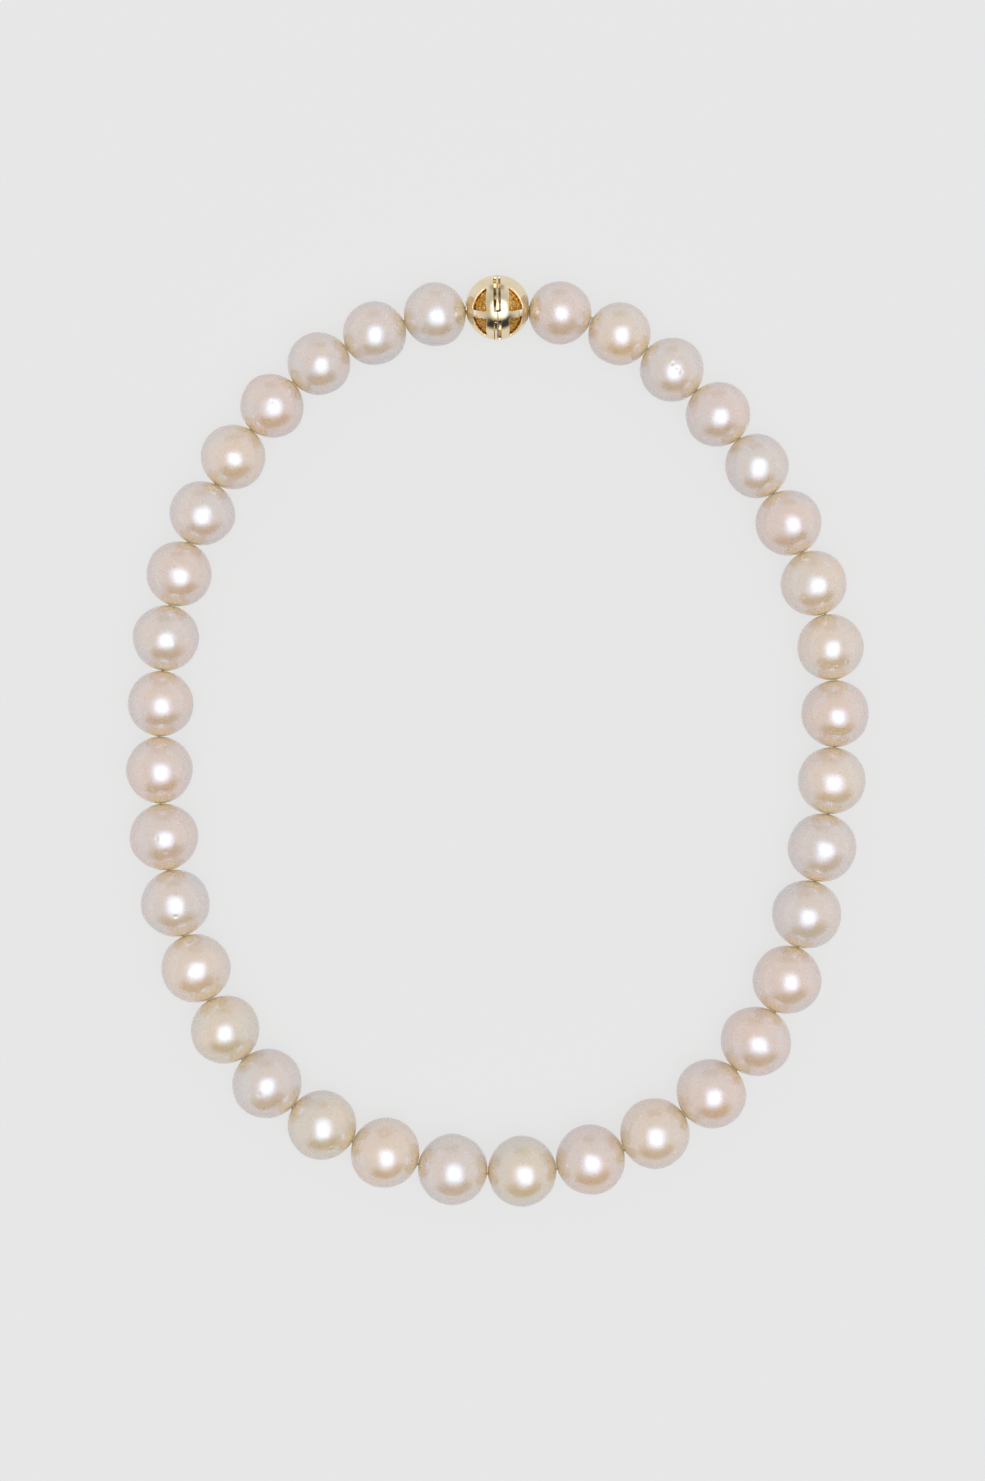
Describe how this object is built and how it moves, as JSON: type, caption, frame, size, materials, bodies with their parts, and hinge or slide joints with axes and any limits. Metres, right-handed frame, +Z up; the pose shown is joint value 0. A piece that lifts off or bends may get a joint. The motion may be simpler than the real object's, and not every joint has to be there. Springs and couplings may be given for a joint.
{
  "type": "pearl necklace",
  "caption": "Strand of graduated round pearls on a silk thread, closed by a pierced gold ball clasp with a sprung tongue and thumb tab.",
  "frame": {"origin": "on the surface, under the middle of the whole loop", "axes": "+Z up from the surface the necklace lies on, +Y from the loop's middle to the clasp, +X to the right seen from above"},
  "size_m": [0.1364, 0.171, 0.013],
  "materials": {
    "nacre": "gloss",
    "silk": "matte",
    "polished_gold": "polished",
    "grained_gold": "satin"
  },
  "bodies": {
    "pearl_01": {"pearl_01": "nacre"},
    "pearl_02": {"pearl_02": "nacre"},
    "pearl_03": {"pearl_03": "nacre"},
    "pearl_04": {"pearl_04": "nacre"},
    "pearl_05": {"pearl_05": "nacre"},
    "pearl_06": {"pearl_06": "nacre"},
    "pearl_07": {"pearl_07": "nacre"},
    "pearl_08": {"pearl_08": "nacre"},
    "pearl_09": {"pearl_09": "nacre"},
    "pearl_10": {"pearl_10": "nacre"},
    "pearl_11": {"pearl_11": "nacre"},
    "pearl_12": {"pearl_12": "nacre"},
    "pearl_13": {"pearl_13": "nacre"},
    "pearl_14": {"pearl_14": "nacre"},
    "pearl_15": {"pearl_15": "nacre"},
    "pearl_16": {"pearl_16": "nacre"},
    "pearl_17": {"pearl_17": "nacre"},
    "pearl_18": {"pearl_18": "nacre", "thread": "silk"},
    "pearl_19": {"pearl_19": "nacre"},
    "pearl_20": {"pearl_20": "nacre"},
    "pearl_21": {"pearl_21": "nacre"},
    "pearl_22": {"pearl_22": "nacre"},
    "pearl_23": {"pearl_23": "nacre"},
    "pearl_24": {"pearl_24": "nacre"},
    "pearl_25": {"pearl_25": "nacre"},
    "pearl_26": {"pearl_26": "nacre"},
    "pearl_27": {"pearl_27": "nacre"},
    "pearl_28": {"pearl_28": "nacre"},
    "pearl_29": {"pearl_29": "nacre"},
    "pearl_30": {"pearl_30": "nacre"},
    "pearl_31": {"pearl_31": "nacre"},
    "pearl_32": {"pearl_32": "nacre"},
    "pearl_33": {"pearl_33": "nacre"},
    "pearl_34": {"pearl_34": "nacre"},
    "pearl_35": {"pearl_35": "nacre"},
    "pearl_36": {"pearl_36": "nacre"},
    "box_half": {"box_shell": "polished_gold", "box_liner": "grained_gold", "box_mouth_plate": "polished_gold", "box_eyelet": "polished_gold", "box_crimp_bead": "polished_gold"},
    "tongue_half": {"tongue_shell": "polished_gold", "tongue_liner": "grained_gold", "tongue_base_plate": "polished_gold", "tongue_lower_leaf": "polished_gold", "tongue_index_key": "polished_gold", "tongue_eyelet": "polished_gold", "tongue_crimp_bead": "polished_gold"},
    "thumb_leaf": {"thumb_tab_leaf": "polished_gold"}
  },
  "joints": [
    {"name": "bend_box_01", "type": "hinge", "parent": "pearl_01", "child": "box_half", "pos_m": [0.00568, 0.07962, 0.00586], "axis": [0, 0, 1], "range_deg": [-2.76, 1.51]},
    {"name": "bend_01_02", "type": "hinge", "parent": "pearl_02", "child": "pearl_01", "pos_m": [0.01723, 0.07758, 0.00578], "axis": [0, 0, 1], "range_deg": [-3.78, 2.06]},
    {"name": "bend_02_03", "type": "hinge", "parent": "pearl_03", "child": "pearl_02", "pos_m": [0.02737, 0.07193, 0.0058], "axis": [0, 0, 1], "range_deg": [-4.57, 2.5]},
    {"name": "bend_03_04", "type": "hinge", "parent": "pearl_04", "child": "pearl_03", "pos_m": [0.03647, 0.06435, 0.0059], "axis": [0, 0, 1], "range_deg": [-3.52, 1.92]},
    {"name": "bend_04_05", "type": "hinge", "parent": "pearl_05", "child": "pearl_04", "pos_m": [0.04429, 0.05549, 0.00594], "axis": [0, 0, 1], "range_deg": [-2.38, 1.3]},
    {"name": "bend_05_06", "type": "hinge", "parent": "pearl_06", "child": "pearl_05", "pos_m": [0.05064, 0.04547, 0.00596], "axis": [0, 0, 1], "range_deg": [-0.88, 1.6]},
    {"name": "bend_06_07", "type": "hinge", "parent": "pearl_07", "child": "pearl_06", "pos_m": [0.05595, 0.03459, 0.00604], "axis": [0, 0, 1], "range_deg": [-1.15, 2.11]},
    {"name": "bend_07_08", "type": "hinge", "parent": "pearl_08", "child": "pearl_07", "pos_m": [0.05997, 0.02327, 0.00606], "axis": [0, 0, 1], "range_deg": [-2.38, 4.36]},
    {"name": "strand_flex", "type": "hinge", "parent": "pearl_09", "child": "pearl_08", "pos_m": [0.06197, 0.01121, 0.00616], "axis": [0, 0, 1], "range_deg": [-3, 5.5]},
    {"name": "bend_09_10", "type": "hinge", "parent": "pearl_10", "child": "pearl_09", "pos_m": [0.06181, -0.00113, 0.00626], "axis": [0, 0, 1], "range_deg": [-2.87, 5.26]},
    {"name": "bend_10_11", "type": "hinge", "parent": "pearl_11", "child": "pearl_10", "pos_m": [0.06058, -0.01336, 0.00628], "axis": [0, 0, 1], "range_deg": [-2.5, 4.57]},
    {"name": "bend_11_12", "type": "hinge", "parent": "pearl_12", "child": "pearl_11", "pos_m": [0.05824, -0.02572, 0.00636], "axis": [0, 0, 1], "range_deg": [-1.95, 3.58]},
    {"name": "bend_12_13", "type": "hinge", "parent": "pearl_13", "child": "pearl_12", "pos_m": [0.05504, -0.03782, 0.00636], "axis": [0, 0, 1], "range_deg": [-1.15, 2.11]},
    {"name": "bend_13_14", "type": "hinge", "parent": "pearl_14", "child": "pearl_13", "pos_m": [0.0509, -0.04974, 0.00639], "axis": [0, 0, 1], "range_deg": [-0.94, 1.72]},
    {"name": "bend_14_15", "type": "hinge", "parent": "pearl_15", "child": "pearl_14", "pos_m": [0.04378, -0.06036, 0.00648], "axis": [0, 0, 1], "range_deg": [-2.38, 1.3]},
    {"name": "bend_15_16", "type": "hinge", "parent": "pearl_16", "child": "pearl_15", "pos_m": [0.03442, -0.06887, 0.00649], "axis": [0, 0, 1], "range_deg": [-3.68, 2.01]},
    {"name": "bend_16_17", "type": "hinge", "parent": "pearl_17", "child": "pearl_16", "pos_m": [0.02314, -0.07503, 0.00645], "axis": [0, 0, 1], "range_deg": [-6.76, 3.69]},
    {"name": "bend_17_18", "type": "hinge", "parent": "pearl_18", "child": "pearl_17", "pos_m": [0.01081, -0.0785, 0.00645], "axis": [0, 0, 1], "range_deg": [-28, 0]},
    {"name": "strand_open", "type": "hinge", "parent": "pearl_18", "child": "pearl_19", "pos_m": [-0.0019, -0.07938, 0.0065], "axis": [0, 0, 1], "range_deg": [0, 28], "deforming": ["thread"]},
    {"name": "bend_19_20", "type": "hinge", "parent": "pearl_19", "child": "pearl_20", "pos_m": [-0.01467, -0.07759, 0.0065], "axis": [0, 0, 1], "range_deg": [-4.18, 7.66]},
    {"name": "bend_20_21", "type": "hinge", "parent": "pearl_20", "child": "pearl_21", "pos_m": [-0.02669, -0.07352, 0.00642], "axis": [0, 0, 1], "range_deg": [-2.61, 4.78]},
    {"name": "bend_21_22", "type": "hinge", "parent": "pearl_21", "child": "pearl_22", "pos_m": [-0.03781, -0.0673, 0.0064], "axis": [0, 0, 1], "range_deg": [-1.67, 3.05]},
    {"name": "bend_22_23", "type": "hinge", "parent": "pearl_22", "child": "pearl_23", "pos_m": [-0.04685, -0.05834, 0.00643], "axis": [0, 0, 1], "range_deg": [-1.58, 2.9]},
    {"name": "bend_23_24", "type": "hinge", "parent": "pearl_23", "child": "pearl_24", "pos_m": [-0.05312, -0.04751, 0.0064], "axis": [0, 0, 1], "range_deg": [-2.66, 1.45]},
    {"name": "bend_24_25", "type": "hinge", "parent": "pearl_24", "child": "pearl_25", "pos_m": [-0.05774, -0.03578, 0.00632], "axis": [0, 0, 1], "range_deg": [-2.47, 1.35]},
    {"name": "bend_25_26", "type": "hinge", "parent": "pearl_25", "child": "pearl_26", "pos_m": [-0.0605, -0.02369, 0.00624], "axis": [0, 0, 1], "range_deg": [-3.48, 1.9]},
    {"name": "bend_26_27", "type": "hinge", "parent": "pearl_26", "child": "pearl_27", "pos_m": [-0.06198, -0.01147, 0.00616], "axis": [0, 0, 1], "range_deg": [-4.57, 2.49]},
    {"name": "bend_27_28", "type": "hinge", "parent": "pearl_27", "child": "pearl_28", "pos_m": [-0.06212, 0.00086, 0.00606], "axis": [0, 0, 1], "range_deg": [-5.53, 3.02]},
    {"name": "bend_28_29", "type": "hinge", "parent": "pearl_28", "child": "pearl_29", "pos_m": [-0.06152, 0.0129, 0.00604], "axis": [0, 0, 1], "range_deg": [-5.28, 2.88]},
    {"name": "bend_29_30", "type": "hinge", "parent": "pearl_29", "child": "pearl_30", "pos_m": [-0.06014, 0.02492, 0.00603], "axis": [0, 0, 1], "range_deg": [-3.58, 1.96]},
    {"name": "bend_30_31", "type": "hinge", "parent": "pearl_30", "child": "pearl_31", "pos_m": [-0.05681, 0.03644, 0.00601], "axis": [0, 0, 1], "range_deg": [-1.93, 1.05]},
    {"name": "bend_31_32", "type": "hinge", "parent": "pearl_31", "child": "pearl_32", "pos_m": [-0.05178, 0.0471, 0.00598], "axis": [0, 0, 1], "range_deg": [-2.07, 1.13]},
    {"name": "bend_32_33", "type": "hinge", "parent": "pearl_32", "child": "pearl_33", "pos_m": [-0.0453, 0.05708, 0.00594], "axis": [0, 0, 1], "range_deg": [-1.57, 2.87]},
    {"name": "bend_33_34", "type": "hinge", "parent": "pearl_33", "child": "pearl_34", "pos_m": [-0.03762, 0.06587, 0.00586], "axis": [0, 0, 1], "range_deg": [-1.77, 3.24]},
    {"name": "bend_34_35", "type": "hinge", "parent": "pearl_34", "child": "pearl_35", "pos_m": [-0.02804, 0.07253, 0.00583], "axis": [0, 0, 1], "range_deg": [-1.72, 3.15]},
    {"name": "bend_35_36", "type": "hinge", "parent": "pearl_35", "child": "pearl_36", "pos_m": [-0.01721, 0.07701, 0.00588], "axis": [0, 0, 1], "range_deg": [-1.4, 2.57]},
    {"name": "bend_36_tongue", "type": "hinge", "parent": "pearl_36", "child": "tongue_half", "pos_m": [-0.00596, 0.07946, 0.00591], "axis": [0, 0, 1], "range_deg": [-1.28, 2.35]},
    {"name": "tab_press", "type": "hinge", "parent": "tongue_half", "child": "thumb_leaf", "pos_m": [0.00286, 0.07941, 0.00559], "axis": [0.012, -0.9092, 0.4163], "range_deg": [-3, 4.5], "stiffness_Nm_per_rad": 0.15}
  ],
  "couplings": [
    {"joint": "bend_box_01", "follows": "strand_flex", "ratio": -0.50036},
    {"joint": "bend_01_02", "follows": "strand_flex", "ratio": -0.68632},
    {"joint": "bend_02_03", "follows": "strand_flex", "ratio": -0.83064},
    {"joint": "bend_03_04", "follows": "strand_flex", "ratio": -0.63889},
    {"joint": "bend_04_05", "follows": "strand_flex", "ratio": -0.4315},
    {"joint": "bend_05_06", "follows": "strand_flex", "ratio": 0.29066},
    {"joint": "bend_06_07", "follows": "strand_flex", "ratio": 0.38324},
    {"joint": "bend_07_08", "follows": "strand_flex", "ratio": 0.7912},
    {"joint": "bend_09_10", "follows": "strand_flex", "ratio": 0.95515},
    {"joint": "bend_10_11", "follows": "strand_flex", "ratio": 0.83042},
    {"joint": "bend_11_12", "follows": "strand_flex", "ratio": 0.64996},
    {"joint": "bend_12_13", "follows": "strand_flex", "ratio": 0.38247},
    {"joint": "bend_13_14", "follows": "strand_flex", "ratio": 0.31233},
    {"joint": "bend_14_15", "follows": "strand_flex", "ratio": -0.43154},
    {"joint": "bend_15_16", "follows": "strand_flex", "ratio": -0.66902},
    {"joint": "bend_16_17", "follows": "strand_flex", "ratio": -1.2274},
    {"joint": "bend_17_18", "follows": "strand_open", "ratio": -1},
    {"joint": "bend_19_20", "follows": "strand_flex", "ratio": 1.3918},
    {"joint": "bend_20_21", "follows": "strand_flex", "ratio": 0.86808},
    {"joint": "bend_21_22", "follows": "strand_flex", "ratio": 0.55388},
    {"joint": "bend_22_23", "follows": "strand_flex", "ratio": 0.52612},
    {"joint": "bend_23_24", "follows": "strand_flex", "ratio": -0.48279},
    {"joint": "bend_24_25", "follows": "strand_flex", "ratio": -0.44808},
    {"joint": "bend_25_26", "follows": "strand_flex", "ratio": -0.63241},
    {"joint": "bend_26_27", "follows": "strand_flex", "ratio": -0.82977},
    {"joint": "bend_27_28", "follows": "strand_flex", "ratio": -1.0051},
    {"joint": "bend_28_29", "follows": "strand_flex", "ratio": -0.95977},
    {"joint": "bend_29_30", "follows": "strand_flex", "ratio": -0.65065},
    {"joint": "bend_30_31", "follows": "strand_flex", "ratio": -0.34948},
    {"joint": "bend_31_32", "follows": "strand_flex", "ratio": -0.3762},
    {"joint": "bend_32_33", "follows": "strand_flex", "ratio": 0.52182},
    {"joint": "bend_33_34", "follows": "strand_flex", "ratio": 0.58906},
    {"joint": "bend_34_35", "follows": "strand_flex", "ratio": 0.57194},
    {"joint": "bend_35_36", "follows": "strand_flex", "ratio": 0.46572},
    {"joint": "bend_36_tongue", "follows": "strand_flex", "ratio": 0.42559}
  ]
}
